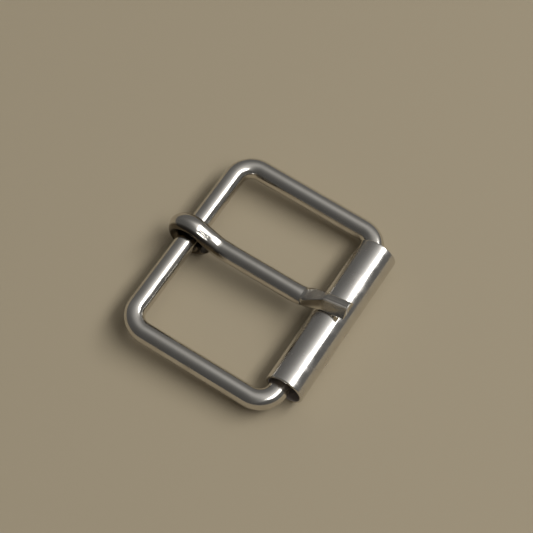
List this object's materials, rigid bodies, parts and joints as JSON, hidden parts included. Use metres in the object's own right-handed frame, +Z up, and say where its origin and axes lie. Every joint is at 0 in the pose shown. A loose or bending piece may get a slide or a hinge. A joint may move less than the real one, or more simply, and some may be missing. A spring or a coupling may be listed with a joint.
{
  "type": "roller buckle",
  "caption": "Rectangular bent-wire strap buckle with a hinged prong on one bar and a loose tubular roller on the other.",
  "frame": {"origin": "under the middle of the buckle's box, on the flat surface that it lies on", "axes": "+X from the prong's bar to the roller, +Y along the bars, +Z up from the surface"},
  "size_m": [0.0298, 0.033, 0.0084],
  "materials": {
    "frame": "bright nickel plate",
    "roller": "bright nickel plate",
    "prong": "bright nickel plate"
  },
  "bodies": {
    "frame": {"frame": "frame"},
    "prong": {"prong": "prong"},
    "roller": {"roller": "roller"}
  },
  "joints": [
    {"name": "prong_swing", "type": "hinge", "parent": "frame", "child": "prong", "pos_m": [-0.01126, 0.0012, 0.0036], "axis": [0, -1, 0], "range_deg": [0, 338]},
    {"name": "roller_spin", "type": "hinge", "parent": "frame", "child": "roller", "pos_m": [0.01201, 0.00055, 0.00285], "axis": [0, 1, 0], "continuous": true}
  ]
}
